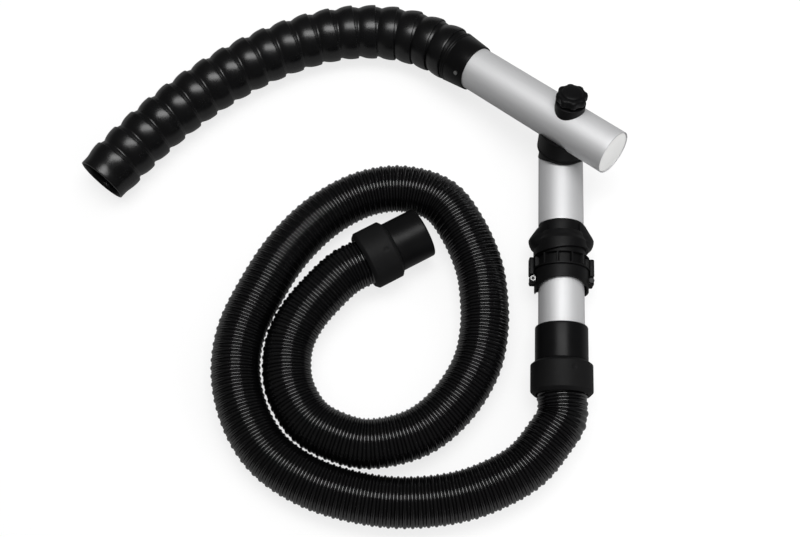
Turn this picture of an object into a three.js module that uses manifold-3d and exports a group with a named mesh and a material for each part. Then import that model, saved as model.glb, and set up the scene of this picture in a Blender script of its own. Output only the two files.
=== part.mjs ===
// Fume extraction arm, laid out on a bench: a stay-put neck of ball-and-socket rings on an aluminium
// tube, a swivel with a clamp knob, a mast with a twist coupling, and a ribbed suction hose.
// Millimetres and degrees, +Z up, the bench at Z = 0. The mast runs along +Y.
import * as THREE from "three";
import { mergeVertices } from "three/addons/utils/BufferGeometryUtils.js";
import Module from "manifold-3d";

const wasm = await Module();
wasm.setup();

// Fits
const gap = 0.3; // between pieces that touch
const slide = 0.4; // between pieces that turn in each other

// Aluminium tubes
const tubeRadius = 25;
const tubeWall = 1.2;
const tubeBore = tubeRadius - tubeWall;
const tubeFacets = 24;

// Hose cuffs: a sleeve that takes the tube, and a nut that takes the hose
const cuffSleeveWall = 3.2;
const cuffSleeveRadius = tubeRadius + gap + cuffSleeveWall;
const cuffSleeveLength = 39;
const cuffSleeveRound = 3;
const cuffNutStep = 4.8; // how far the nut stands out from the sleeve
const cuffNutRadius = cuffSleeveRadius + cuffNutStep;
const cuffNutLength = 36;
const cuffNutChamfer = 3.5;
const cuffNutTop = 5; // thickness of the wall that the sleeve's neck passes
const cuffBore = 21;
const cuffNeckWall = 3;
const cuffNeckRadius = cuffBore + cuffNeckWall;
const cuffStop = 5; // from the tube's end to the sleeve's lower face
const cuffFacets = 24;

// Lower tube
const lowerTubeLength = 105;
const lowerTubeInCuff = cuffSleeveLength - cuffStop;

// Coupling: body, split clamp, lock collar and ferrule, from the lower tube upwards
const couplingLap = 32; // how far the clamp reaches back over the lower tube
const clampLength = 24;
const bodyWall = 1.7;
const bodyNeckRadius = tubeRadius + gap + bodyWall;
const bodySkirtShort = 10.5; // how far the body stops short of the clamp's lower edge
const bodyLip = 1; // how far the body reaches in over the tube's end
const bodyShoulder = tubeRadius - bodyLip;
const clampWall = 2.3;
const clampRadius = bodyNeckRadius + gap + clampWall;
const clampArch = 10; // depth of the arched cut in its lower edge
const clampSplit = 1.2;
const flangeLength = 14;
const flangeStep = 2.8;
const flangeRadius = bodyNeckRadius + flangeStep;
const ribCount = 12;
const ribHeight = 1.6;
const ribWidth = 3.2;
const bossHeight = 8.5;
const bossReach = bodyNeckRadius + bossHeight;
const bossWidth = 12;
const bossDrop = 6.5; // how far it hangs down outside the clamp
const barrelLength = 12;
const collarLength = 27;
const collarWall = 3;
const collarRadius = bodyNeckRadius + slide + collarWall;
const collarLip = 1.2;
const collarTopRadius = tubeRadius + slide + collarLip;
const collarRimTilt = 7.5;
const collarRimLift = 5;
const wingHeight = 5.6;
const wingReach = collarRadius + wingHeight;
const wingRoot = 1.5; // how far the wing is let into the collar
const wingRound = 16; // radius of its rounded back
const wingDrop = 9.5; // below the collar's inner roof
const wingTip = 2.5; // its widest place, above that roof
const wingRise = 10; // above the collar
const wingCorner = 3;
const wingClear = 0.5; // from the mast, beyond the collar's own clearance
const sealThick = 2;
const ferruleFlange = 3.2;
const ferruleBare = 12;
const ferruleWall = 1.8;
const ferruleTail = 37;
const ferruleSpigot = 20;

// Clamp screws, through lugs on both sides
const lugLength = 9;
const lugHeight = 7;
const lugDrop = 7; // below the clamp's upper edge
const lugStep = 5.2;
const lugReach = clampRadius + lugStep;
const screwStep = 2.3;
const screwOffset = clampRadius + screwStep;
const screwRadius = 1.6;
const screwHeadRadius = 2.8;
const screwHeadHeight = 2.6;
const nutAcross = 5.5;
const nutHeight = 2.6;

// Mast and swivel head
const mastLength = 83; // to the middle of the mitred elbow
const elbowBend = 70;
const headStep = 0.5;
const headRadius = tubeRadius + headStep;
const headWall = 3;
const headBore = tubeBore - gap - headWall;
const headTop = 21; // turntable face, from the middle of the elbow
const turntableStep = 3.2;
const turntableRadius = headRadius + turntableStep;
const turntableThick = 3;
const headSpigot = 22;
const barWidth = 9;
const barTop = 15;
const barHeight = 7;
const bossRadius = 8;
const washerThick = 1.6;
const portStep = 2.5;
const portRadius = headBore - portStep;

// Upper tube on its saddle
const saddleWeb = 5; // least thickness of the saddle under the tube
const tubeRise = headTop + washerThick + 2 * gap + saddleWeb + tubeRadius; // from the elbow to its axis
const armSwing = 41;
const upperTubeFront = 152; // from the swivel axis to the neck end
const upperTubeBack = 63; // from the swivel axis to the plugged end
const saddleTop = 9; // its edge, below the tube's axis
const plugDepth = 12;
const plugFace = 2.5;
const plugRecess = 0.6;

// Clamp knob
const seatRadius = 16.5;
const seatRise = 8; // above the tube
const seatTop = tubeRadius + seatRise;
const seatFoot = 12;
const knobWasherRadius = 12;
const knobWasherThick = 1.2;
const knobRadius = 16.2;
const knobLobes = 8;
const knobLobeDepth = 0.9;
const knobHeight = 10;
const knobEdge = 1.4;
const knobDome = 2.6;
const knobCapRadius = 11.5;
const boltRadius = 4;
const boltInKnob = 8;
const boltTail = 6; // below the nut
const headNutAcross = 13;
const headNutHeight = 6.5;

// Neck: a cuff on the tube, then rings that each hold a ball in a socket
const neckCuffLap = 20;
const neckCuffWall = 1.7;
const neckCuffRadius = tubeRadius + gap + neckCuffWall;
const neckCuffFlare = 3.2; // how much wider it gets towards the first ring
const neckReach = 21; // from the tube's end to the first ball
const neckStart = upperTubeFront + neckReach;
const neckPitch = 24.8;
const neckLinks = 19; // the last one is the mouth
const neckBends = [6.7, 8.4, 10, 9.2, 8.3, 7.3, 6.2, 5.1, 4, 3.8, 3.5, 3.3, 3.1, 2.8, 2.7, 2.5, 2.3, 2.2, 2];
const neckRoll = -18.8;
const neckLift = -2.6; // of each of the first links, until the neck is level
const neckLifted = 5;
const neckFacets = 12;
const ballRadius = 29.5;
const ballSlide = 0.6; // between ball and socket, with flat facets
const socketRadius = ballRadius + ballSlide;
const socketWall = 1.1;
const shoulderRadius = socketRadius + socketWall;
const shoulderDrop = 2.8; // below the middle of the socket
const rimEdge = 0.5;
const rimInset = 0.5;
const waistInset = 0.3;
const waistSpot = 5;
const grooveInset = 1.3; // of the body's end, at the groove before the next ring
const grooveReach = 11.5; // from there to the middle of the ball
const throat = 2.2; // wall between the socket and the bore of the ball
const ballWall = 4.4;
const neckBore = ballRadius - ballWall;
const rimLatitude = 8;
const ballLatitude = 14;
const neckLimit = 11; // largest bend of one joint
const mouthRadius = 28.9;
const mouthWall = 2;
const mouthWaist = 2.3; // how far its waist is drawn in
const mouthWaistSpot = 15;
const mouthFlare = 1; // at the foot of its bore
const cuffScrewSpot = 139;
const cuffScrewTurn = 76;
const cuffScrewRadius = 1.3;
const cuffScrewHead = 2.5;
const cuffScrewHeadHeight = 1.3;

// Suction hose
const hoseRadius = 26.5;
const hoseValley = 24.3;
const hoseBore = 21;
const hoseRibs = 110;
const hoseSides = 8;
const ribsPerBoreRing = 2;
const endCuffSpot = new THREE.Vector2(-216.9, 65.1); // its nut's mouth
const endCuffHeading = 31; // from +X
const hoseRun = [
  [-11.2, -117.4, 32.6],
  [-35.6, -148.5, 30],
  [-70.7, -170.7, 27.6],
  [-109.6, -185.2, 26.8],
  [-165.2, -192.6, 26.8],
  [-215, -188.4, 26.8],
  [-262.6, -175, 26.8],
  [-304.1, -149.9, 26.8],
  [-331, -114.6, 26.8],
  [-346.9, -67.4, 26.8],
  [-345.9, -19.7, 26.8],
  [-326.3, 33.3, 26.8],
  [-299.9, 81.5, 26.8],
  [-261.9, 123.7, 26.8],
  [-217.8, 150.3, 26.8],
  [-174.5, 157, 26.8],
  [-134.8, 144.7, 26.8],
  [-109.9, 113.3, 26.8],
  [-89.8, 67.8, 26.8],
  [-83.9, 33.4, 26.8],
  [-82.6, -0.9, 26.8],
  [-89.9, -43.4, 26.8],
  [-115.4, -88.4, 26.8],
  [-150.7, -119.3, 26.8],
  [-202.5, -133.5, 26.8],
  [-234.4, -127.8, 26.8],
  [-265.6, -111.9, 26.8],
  [-287.2, -80.9, 26.8],
  [-293.3, -56, 26.8],
  [-291.8, -26.2, 27.5],
  [-279.6, 2.4, 29.5],
  [-260.9, 27.5, 31.8],
];

// Places along the mast axis, from the rim of the lower cuff
const lowerTubeEnd = lowerTubeLength - lowerTubeInCuff;
const clampStart = lowerTubeEnd - couplingLap;
const clampEnd = clampStart + clampLength;
const flangeStart = clampEnd + gap;
const flangeEnd = flangeStart + flangeLength;
const barrelEnd = flangeEnd + barrelLength;
const sealEnd = barrelEnd + gap + sealThick;
const ferruleFlangeEnd = sealEnd + gap + ferruleFlange;
const collarStart = flangeEnd + gap;
const collarEnd = collarStart + collarLength;
const mastStart = collarEnd + ferruleBare;
const elbowAt = mastStart + mastLength;
const hoseInNut = cuffSleeveLength + cuffNutTop + gap + 1;
const axisHeight = cuffNutRadius; // the lower nut lies on the bench

// Materials
const finish = (color, roughness, metalness) =>
  new THREE.MeshStandardMaterial({ color, roughness, metalness });
const aluminium = finish(0xc9ccd0, 0.35, 0.9);
const steel = finish(0xb4b6b8, 0.3, 0.95);
const glossBlack = finish(0x0b0b0c, 0.22, 0);
const mattBlack = finish(0x1b1b1c, 0.6, 0);
const hoseBlack = finish(0x0d0d0e, 0.35, 0);
const rubber = finish(0x151515, 0.85, 0);
const paleNylon = finish(0xe4e4e2, 0.5, 0);

const radians = THREE.MathUtils.degToRad;

// A ring turned about Y from [radius, height] corners, anticlockwise, with the bore last.
function turned(corners, facets) {
  const profile = corners.map(([radius, height]) => new THREE.Vector2(radius, height));
  profile.push(profile[0].clone());
  return new THREE.LatheGeometry(profile, facets);
}

// A plain tube or disc about Y.
function tube(outer, inner, from, to, facets) {
  return turned([[outer, from], [outer, to], [inner, to], [inner, from]], facets);
}

function rod(radius, from, to, facets) {
  const shape = new THREE.CylinderGeometry(radius, radius, to - from, facets);
  return shape.translate(0, (from + to) / 2, 0);
}

function block(width, length, height) {
  return new THREE.BoxGeometry(width, length, height);
}

function prism(outline, from, to) {
  const shape = new THREE.Shape(outline.map(([x, y]) => new THREE.Vector2(x, y)));
  const made = new THREE.ExtrudeGeometry(shape, { depth: to - from, bevelEnabled: false });
  return made.translate(0, 0, from);
}

// Geometry to solid and back, for joins and cuts.
function solid(geometry) {
  const bare = new THREE.BufferGeometry();
  bare.setAttribute("position", geometry.getAttribute("position"));
  if (geometry.index) bare.setIndex(geometry.index);
  const merged = mergeVertices(bare, 1e-4);
  return new wasm.Manifold(
    new wasm.Mesh({
      numProp: 3,
      vertProperties: new Float32Array(merged.getAttribute("position").array),
      triVerts: new Uint32Array(merged.index.array),
    }),
  );
}

function geometry(made) {
  const mesh = made.getMesh();
  const shape = new THREE.BufferGeometry();
  shape.setAttribute("position", new THREE.BufferAttribute(mesh.vertProperties, 3));
  shape.setIndex(new THREE.BufferAttribute(mesh.triVerts, 1));
  shape.computeVertexNormals();
  return shape;
}

const join = (first, ...rest) => rest.reduce((sum, piece) => sum.add(solid(piece)), solid(first));
const cut = (made, ...tools) => tools.reduce((sum, tool) => sum.subtract(solid(tool)), made);

function place(group, name, shape, material) {
  const mesh = new THREE.Mesh(shape, material);
  mesh.name = name;
  group.add(mesh);
  return mesh;
}

// Hose cuff, with the sleeve's rim at 0 and the nut's mouth at the bottom.
function addCuff(group, sleeveName, nutName) {
  const nutStart = -cuffSleeveLength;
  const nutEnd = nutStart - cuffNutLength;
  const neckEnd = nutStart - cuffNutTop;
  place(
    group,
    sleeveName,
    turned(
      [
        [cuffNeckRadius, neckEnd],
        [cuffNeckRadius, nutStart],
        [cuffSleeveRadius, nutStart],
        [cuffSleeveRadius, -cuffSleeveRound],
        [cuffSleeveRadius - cuffSleeveRound / 3, -cuffSleeveRound / 3],
        [cuffSleeveRadius - cuffSleeveRound / 1.5, 0],
        [tubeRadius + gap, 0],
        [tubeRadius + gap, -lowerTubeInCuff - gap],
        [cuffBore, -lowerTubeInCuff - gap],
        [cuffBore, neckEnd],
      ],
      cuffFacets,
    ),
    glossBlack,
  );
  const hoseSeat = hoseRadius + 2 * gap;
  place(
    group,
    nutName,
    turned(
      [
        [hoseSeat + gap, nutEnd],
        [cuffNutRadius - cuffNutChamfer, nutEnd],
        [cuffNutRadius, nutEnd + cuffNutChamfer],
        [cuffNutRadius, nutStart - gap - cuffNutChamfer],
        [cuffSleeveRadius + gap, nutStart - gap],
        [cuffNeckRadius + gap, nutStart - gap],
        [cuffNeckRadius + gap, neckEnd],
        [hoseSeat, neckEnd],
        [hoseSeat, nutEnd + 2],
      ],
      cuffFacets,
    ),
    mattBlack,
  );
}

// Fixed coupling body: a sleeve on the lower tube with a castellated flange and a barrel.
function couplingBody() {
  const bottom = clampStart + bodySkirtShort;
  const bore = tubeRadius + gap;
  const sleeve = turned(
    [
      [bodyNeckRadius, bottom],
      [bodyNeckRadius, flangeStart],
      [flangeRadius, flangeStart],
      [flangeRadius, flangeEnd],
      [bodyNeckRadius, flangeEnd],
      [bodyNeckRadius, barrelEnd],
      [bodyShoulder, barrelEnd],
      [bodyShoulder, lowerTubeEnd + gap],
      [bore, lowerTubeEnd + gap],
      [bore, bottom],
    ],
    tubeFacets,
  );
  const ribLength = flangeLength - 2;
  const ribMiddle = (flangeStart + flangeEnd) / 2;
  const ribs = Array.from({ length: ribCount }, (_, i) => {
    const rib = block(ribWidth, ribLength, 2 * ribHeight);
    rib.translate(0, ribMiddle, flangeRadius);
    return rib.rotateY(((i + 0.5) / ribCount) * 2 * Math.PI);
  });
  const bossFoot = clampRadius + 2 * gap;
  const bosses = [1, -1].map((side) => {
    const outline = [
      [bossFoot, flangeStart - bossDrop],
      [bossReach, flangeStart - bossDrop],
      [bossReach, flangeEnd],
      [bodyNeckRadius, flangeEnd],
      [bodyNeckRadius, flangeStart],
      [bossFoot, flangeStart],
    ];
    const boss = prism(outline, -bossWidth / 2, bossWidth / 2);
    return side > 0 ? boss : boss.rotateY(Math.PI);
  });
  return geometry(join(sleeve, ...ribs, ...bosses));
}

// One half of the split clamp: the half ring above or below the tube, with a lug at each side.
function clampHalf(side) {
  const inner = bodyNeckRadius + gap;
  const ring = join(tube(clampRadius, inner, clampStart, clampEnd, tubeFacets));
  const lugDepth = lugReach - inner;
  const lugMiddle = clampEnd - lugDrop - lugLength / 2;
  const lugs = [1, -1].map((x) =>
    block(lugDepth, lugLength, 2 * lugHeight).translate(x * (lugReach - lugDepth / 2), lugMiddle, 0),
  );
  const whole = lugs.reduce((sum, lug) => sum.add(solid(lug)), ring);
  const hollow = rod(inner, clampStart - 1, clampEnd + 1, tubeFacets);
  const arch = new THREE.CylinderGeometry(1, 1, 4 * clampRadius, 24);
  arch.rotateX(Math.PI / 2).scale(inner, clampArch, 1).translate(0, clampStart, 0);
  const holes = [1, -1].map((x) => {
    const hole = rod(screwRadius + gap, -2 * lugHeight, 2 * lugHeight, 12);
    return hole.rotateX(Math.PI / 2).translate(x * screwOffset, lugMiddle, 0);
  });
  const otherHalf = block(4 * clampRadius, 4 * clampLength, 2 * clampRadius);
  otherHalf.translate(0, clampEnd, -side * (clampRadius - clampSplit / 2));
  return geometry(cut(whole, hollow, arch, ...holes, otherHalf));
}

// Twist collar with two finger wings; its lower rim is a ramp.
function lockCollar() {
  const bore = bodyNeckRadius + slide;
  const roof = ferruleFlangeEnd + gap;
  const sleeve = turned(
    [
      [bore, collarStart],
      [collarRadius, collarStart],
      [collarRadius, roof],
      [collarTopRadius, collarEnd],
      [tubeRadius + slide, collarEnd],
      [tubeRadius + slide, roof],
      [bore, roof],
    ],
    tubeFacets,
  );
  const wingTop = collarEnd + wingRise;
  const wingNeck = tubeRadius + slide + wingClear;
  const wingMiddle = wingReach - wingRound;
  const outline = [
    [wingMiddle, roof - wingDrop],
    [collarRadius - wingRoot, roof - wingDrop],
    [wingReach - wingCorner, roof - wingDrop + wingCorner],
    [wingReach, roof + wingTip],
    [wingReach - gap, roof + wingTip + wingCorner],
    [wingNeck + wingRoot, wingTop],
    [wingMiddle, wingTop],
  ];
  const wingBack = rod(wingRound, collarStart, wingTop + 1, 16).translate(wingMiddle, 0, 0);
  const wing = solid(prism(outline, -wingRound, wingRound)).intersect(solid(wingBack));
  const wings = wing.add(wing.rotate([0, 180, 0]));
  const hollows = [
    rod(bore, collarStart - 1, roof, tubeFacets),
    rod(tubeRadius + slide, roof - 1, collarEnd, tubeFacets),
    rod(wingNeck, collarEnd, wingTop + 1, tubeFacets),
  ];
  const ramp = block(4 * collarRadius, 2 * collarLength, 4 * collarRadius);
  ramp.translate(0, -collarLength, 0).rotateZ(radians(collarRimTilt));
  ramp.translate(0, collarStart + collarRimLift, 0);
  return geometry(cut(solid(sleeve).add(wings), ...hollows, ramp));
}

// Plastic ferrule of the mast: a tail that turns in the lower tube, a flange and a spigot.
function ferrule() {
  const tail = tubeBore - slide;
  const bore = tail - ferruleWall;
  const spigot = tubeBore - gap;
  return turned(
    [
      [tail, barrelEnd - ferruleTail],
      [tail, sealEnd + gap],
      [bodyNeckRadius - gap, sealEnd + gap],
      [bodyNeckRadius - gap, ferruleFlangeEnd],
      [tubeRadius, ferruleFlangeEnd],
      [tubeRadius, mastStart],
      [spigot, mastStart],
      [spigot, mastStart + ferruleSpigot],
      [bore, mastStart + ferruleSpigot],
      [bore, barrelEnd - ferruleTail],
    ],
    tubeFacets,
  );
}

// A half space beyond the mitre of the elbow, as a large box; along is +1 for the mast's side.
function mitreBox(along, offset) {
  const size = 8 * headRadius;
  const box = block(size, size, size);
  box.translate(0, (-along * size) / 2 + offset, 0);
  return box.rotateX(radians(elbowBend / 2));
}

function mastTube() {
  const far = 2 * headRadius;
  const shape = solid(tube(tubeRadius, tubeBore, gap - mastLength, far, tubeFacets));
  return geometry(cut(shape, mitreBox(-1, -gap / 2)));
}

// Black elbow on the mitred end of the mast, with a bar that holds the nut of the clamp bolt.
function swivelHead() {
  const turn = (shape) => shape.rotateX(radians(elbowBend));
  const reach = 2 * headRadius;
  const turntable = rod(turntableRadius, headTop - turntableThick, headTop, tubeFacets);
  const stem = solid(turn(rod(headRadius, -reach, headTop, tubeFacets)));
  const outer = cut(stem, mitreBox(1, gap / 2)).add(solid(turn(turntable)));
  const spigot = cut(
    solid(rod(tubeBore - gap, -headSpigot, reach, tubeFacets)),
    mitreBox(-1, gap),
  );
  const boreUp = cut(solid(turn(rod(headBore, -reach, headTop + 1, tubeFacets))), mitreBox(1, -1));
  const boreBack = cut(solid(rod(headBore, -reach, reach, tubeFacets)), mitreBox(-1, 1));
  const shell = outer.add(spigot).subtract(boreUp).subtract(boreBack);
  const barMiddle = barTop - barHeight / 2;
  const bar = block(2 * headBore + 2, barHeight, barWidth).translate(0, barMiddle, 0);
  const boss = rod(bossRadius, barTop - barHeight, barTop, 16);
  const spider = cut(join(bar, boss), rod(boltRadius + slide, 0, headTop, 12));
  const turned70 = new THREE.Matrix4().makeRotationX(radians(elbowBend));
  return geometry(shell.add(spider.transform(turned70.elements)));
}

// Pieces round the upper tube, in its own frame: X along the swivel axis, Y towards the neck.
const alongX = (shape) => shape.rotateZ(-Math.PI / 2);
const tubeRelief = () => rod(tubeRadius + gap, -upperTubeFront, upperTubeFront, tubeFacets);

function saddle() {
  const foot = headTop + washerThick + 2 * gap - tubeRise;
  const column = alongX(rod(turntableRadius, foot, -saddleTop, tubeFacets));
  const port = alongX(rod(portRadius + gap, foot - 1, 0, 24));
  return geometry(cut(solid(column), tubeRelief(), port));
}

function upperTube() {
  const wall = tube(tubeRadius, tubeBore, -upperTubeBack, upperTubeFront, tubeFacets);
  const port = alongX(rod(portRadius, -2 * tubeRadius, 0, 24));
  const hole = alongX(rod(boltRadius + gap, 0, 2 * tubeRadius, 12));
  return geometry(cut(solid(wall), port, hole, cuffScrewHole()));
}

function endPlug() {
  const outer = tubeBore - gap;
  const face = plugRecess - upperTubeBack;
  return turned(
    [
      [0, face],
      [outer, face],
      [outer, face + plugDepth],
      [outer - plugFace, face + plugDepth],
      [outer - plugFace, face + plugFace],
      [0, face + plugFace],
    ],
    tubeFacets,
  );
}

function knobSeat() {
  const column = alongX(rod(seatRadius, seatFoot, seatTop, 24));
  const hole = alongX(rod(boltRadius + gap, 0, seatTop + 1, 12));
  return geometry(cut(solid(column), tubeRelief(), hole));
}

// Lobed knob with a rounded edge and a low domed cap.
const knobFoot = seatTop + knobWasherThick + 2 * gap;

function clampKnob() {
  const outline = Array.from({ length: 4 * knobLobes }, (_, i) => {
    const turn = (i / (4 * knobLobes)) * 2 * Math.PI;
    const radius = knobRadius - knobEdge + knobLobeDepth * Math.cos(knobLobes * turn);
    return new THREE.Vector2(radius * Math.cos(turn), radius * Math.sin(turn));
  });
  const head = new THREE.ExtrudeGeometry(new THREE.Shape(outline), {
    depth: knobHeight - 2 * knobEdge,
    bevelThickness: knobEdge,
    bevelSize: knobEdge,
    bevelSegments: 1,
  });
  head.rotateY(Math.PI / 2).translate(knobFoot + knobEdge, 0, 0);
  const top = knobFoot + knobHeight;
  const cap = turned(
    [[0, top - 1], [knobCapRadius, top - 1], [knobCapRadius, top + knobDome / 2], [0, top + knobDome]],
    16,
  );
  const hole = alongX(rod(boltRadius + gap, knobFoot - 1, knobFoot + boltInKnob + gap, 12));
  return geometry(cut(join(head, alongX(cap)), hole));
}

function clampBolt() {
  const end = headTop - tubeRise - (headTop - barTop) - barHeight - gap - headNutHeight - boltTail;
  return alongX(rod(boltRadius, end, knobFoot + boltInKnob, 12));
}

function hexNut(across, height, bore) {
  const nut = rod(across / Math.sqrt(3), 0, height, 6);
  return geometry(cut(solid(nut), rod(bore, -1, height + 1, 12)));
}

// Small screw that holds the neck cuff, set radially into cuff and tube.
function radial(shape) {
  shape.rotateZ(-Math.PI / 2).rotateY(-radians(cuffScrewTurn));
  return shape.translate(0, cuffScrewSpot, 0);
}

const cuffScrewHole = () => radial(rod(cuffScrewRadius + gap, tubeBore - 4, shoulderRadius + 2, 12));

function cuffScrew() {
  const along = cuffScrewSpot + cuffScrewHead - (upperTubeFront - neckCuffLap);
  const slope = neckCuffFlare / (neckCuffLap + neckReach - grooveReach);
  const seat = neckCuffRadius + along * slope + gap;
  const shank = rod(cuffScrewRadius, tubeBore - 2, seat + 0.1, 10);
  const head = rod(cuffScrewHead, seat, seat + cuffScrewHeadHeight, 12);
  return radial(geometry(join(shank, head)));
}

// Points on a ball or socket of one radius, by latitude towards the mouth.
function zone(radius, centre, latitudes) {
  return latitudes.map((latitude) => {
    const turn = radians(latitude);
    return [radius * Math.cos(turn), centre + radius * Math.sin(turn)];
  });
}

const ballZone = [-rimLatitude - neckLimit - 1, -rimLatitude, 2, ballLatitude];
const socketZone = [ballLatitude + neckLimit + 1, ballLatitude, 2, -rimLatitude];

// Socket end that every link of the neck shares: its outside first, then its inside.
const rimHeight = socketRadius * Math.sin(radians(rimLatitude)) + rimEdge;
const socketOutside = [
  [shoulderRadius - rimInset, -rimHeight],
  [shoulderRadius, -shoulderDrop],
  [shoulderRadius - waistInset, waistSpot],
];
const socketDepth = socketRadius * Math.sin(radians(socketZone[0]));

function neckRing() {
  const ball = zone(ballRadius, neckPitch, ballZone);
  const ballEnd = ball[ball.length - 1][1];
  return turned(
    [
      ...socketOutside,
      [shoulderRadius - grooveInset, neckPitch - grooveReach],
      ...ball,
      [neckBore, ballEnd],
      [neckBore, socketDepth + throat],
      ...zone(socketRadius, 0, socketZone),
    ],
    neckFacets,
  );
}

function neckMouth() {
  return turned(
    [
      ...socketOutside,
      [shoulderRadius - mouthWaist, mouthWaistSpot],
      [mouthRadius, neckPitch],
      [mouthRadius - mouthWall, neckPitch],
      [neckBore + mouthFlare, socketDepth + throat],
      ...zone(socketRadius, 0, socketZone),
    ],
    neckFacets,
  );
}

// Cuff on the tube, with the ball that the first ring turns on.
function neckCuff() {
  const start = upperTubeFront - neckCuffLap;
  const seat = upperTubeFront + gap;
  const ballPoints = zone(ballRadius, neckStart, ballZone);
  const [footRadius, footHeight] = ballPoints[0];
  const sleeveEnd = footHeight - gap;
  const sleeve = turned(
    [
      [tubeRadius + gap, start],
      [neckCuffRadius, start],
      [neckCuffRadius + neckCuffFlare, neckStart - grooveReach],
      [footRadius - gap, sleeveEnd],
      [tubeBore, sleeveEnd],
      [tubeBore, seat],
      [tubeRadius + gap, seat],
    ],
    tubeFacets,
  );
  const ballEnd = ballPoints[ballPoints.length - 1][1];
  const ballFoot = sleeveEnd - 1;
  const ball = turned(
    [[footRadius, ballFoot], ...ballPoints, [tubeBore, ballEnd], [tubeBore, ballFoot]],
    neckFacets,
  );
  return geometry(cut(join(sleeve, ball.rotateY(radians(neckRoll))), cuffScrewHole()));
}

// Ribbed hose along its route, with a bore.
function hoseRoute() {
  const heading = radians(endCuffHeading);
  const forward = new THREE.Vector3(Math.cos(heading), Math.sin(heading), 0);
  const mouth = new THREE.Vector3(endCuffSpot.x, endCuffSpot.y, axisHeight);
  const inNut = cuffSleeveLength + cuffNutLength - hoseInNut;
  const straight = 2 * hoseRadius;
  const start = [0, 0.5, 1].map(
    (part) => new THREE.Vector3(0, -hoseInNut - part * straight, axisHeight),
  );
  const end = [1, 0.5, 0].map((part) =>
    mouth.clone().addScaledVector(forward, inNut - part * straight),
  );
  const run = hoseRun.map(([x, y, z]) => new THREE.Vector3(x, y, z));
  return new THREE.CatmullRomCurve3([...start, ...run, ...end], false, "centripetal");
}

function hoseRing(curve, share, radius) {
  const middle = curve.getPointAt(share);
  const along = curve.getTangentAt(share);
  const side = new THREE.Vector3(0, 0, 1).cross(along).normalize();
  const up = along.clone().cross(side);
  return Array.from({ length: hoseSides }, (_, i) => {
    const turn = ((i + 0.5) / hoseSides) * 2 * Math.PI;
    const point = middle.clone().addScaledVector(side, radius * Math.cos(turn));
    return point.addScaledVector(up, radius * Math.sin(turn));
  });
}

function hose(curve) {
  const outside = [hoseRing(curve, 0, hoseValley)];
  for (let rib = 0; rib < hoseRibs; rib++) {
    outside.push(hoseRing(curve, (rib + 0.35) / hoseRibs, hoseRadius));
    outside.push(hoseRing(curve, (rib + 0.85) / hoseRibs, hoseValley));
  }
  outside.push(hoseRing(curve, 1, hoseValley));
  const boreRings = Math.round(hoseRibs / ribsPerBoreRing);
  const inside = Array.from({ length: boreRings + 1 }, (_, i) =>
    hoseRing(curve, 1 - i / boreRings, hoseBore),
  );
  const rings = [...outside, ...inside];
  const corners = rings.flat().flatMap((point) => point.toArray());
  const faces = [];
  for (let ring = 0; ring < rings.length; ring++) {
    const next = (ring + 1) % rings.length;
    for (let i = 0; i < hoseSides; i++) {
      const j = (i + 1) % hoseSides;
      const [a, b] = [ring * hoseSides + i, ring * hoseSides + j];
      const [c, d] = [next * hoseSides + i, next * hoseSides + j];
      faces.push(a, b, c, b, d, c);
    }
  }
  const shape = new THREE.BufferGeometry();
  shape.setAttribute("position", new THREE.Float32BufferAttribute(corners, 3));
  shape.setIndex(faces);
  return shape;
}

// Least gap between two stretches of the hose that are not neighbours along it.
function leastGap(curve) {
  const steps = 400;
  const apart = Math.ceil((6 * hoseRadius * steps) / curve.getLength());
  const points = curve.getSpacedPoints(steps);
  let least = Infinity;
  for (let i = 0; i <= steps; i++) {
    for (let j = i + apart; j <= steps; j++) least = Math.min(least, points[i].distanceTo(points[j]));
  }
  return least - 2 * hoseRadius;
}

// Assembly
const arm = new THREE.Group();
const post = new THREE.Group();
post.position.z = axisHeight;
arm.add(post);

// Lower tube and coupling
addCuff(post, "cuff_sleeve", "cuff_nut");
place(post, "lower_tube", tube(tubeRadius, tubeBore, -lowerTubeInCuff, lowerTubeEnd, tubeFacets), aluminium);
place(post, "coupling_body", couplingBody(), mattBlack);
place(post, "clamp_half_top", clampHalf(1), mattBlack);
place(post, "clamp_half_bottom", clampHalf(-1), mattBlack);
for (const [name, side] of [["left", -1], ["right", 1]]) {
  const spot = new THREE.Vector3(side * screwOffset, clampEnd - lugDrop - lugLength / 2, 0);
  const screwEnd = -lugHeight - nutHeight - 2 * gap - 1;
  const shank = rod(screwRadius, screwEnd, lugHeight + gap + 0.1, 12);
  const head = rod(screwHeadRadius, lugHeight + gap, lugHeight + gap + screwHeadHeight, 16);
  const screw = place(post, "clamp_screw_" + name, geometry(join(shank, head)), steel);
  screw.position.copy(spot);
  screw.rotation.x = (side * Math.PI) / 2;
  const nut = place(post, "clamp_nut_" + name, hexNut(nutAcross, nutHeight, screwRadius + gap), steel);
  nut.position.copy(spot).setZ(-side * (lugHeight + gap + nutHeight));
  nut.rotation.x = (side * Math.PI) / 2;
}
place(post, "lock_collar", lockCollar(), mattBlack);
const sealBore = bodyShoulder + gap;
place(post, "coupling_seal", tube(bodyNeckRadius - gap, sealBore, barrelEnd + gap, sealEnd, tubeFacets), rubber);
place(post, "mast_ferrule", ferrule(), mattBlack);

// Mast and swivel head, about the middle of the elbow
const elbow = new THREE.Group();
elbow.position.y = elbowAt;
post.add(elbow);
place(elbow, "mast_tube", mastTube(), aluminium);
place(elbow, "swivel_head", swivelHead(), mattBlack);
const swivel = new THREE.Group();
swivel.rotation.x = radians(elbowBend);
elbow.add(swivel);
const headNut = place(swivel, "head_nut", hexNut(headNutAcross, headNutHeight, boltRadius + gap), steel);
headNut.position.y = barTop - barHeight - gap - headNutHeight;
const washerSpan = [headTop + gap, headTop + gap + washerThick];
place(swivel, "swivel_washer", tube(turntableRadius - gap, headBore, ...washerSpan, tubeFacets), mattBlack);

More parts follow.
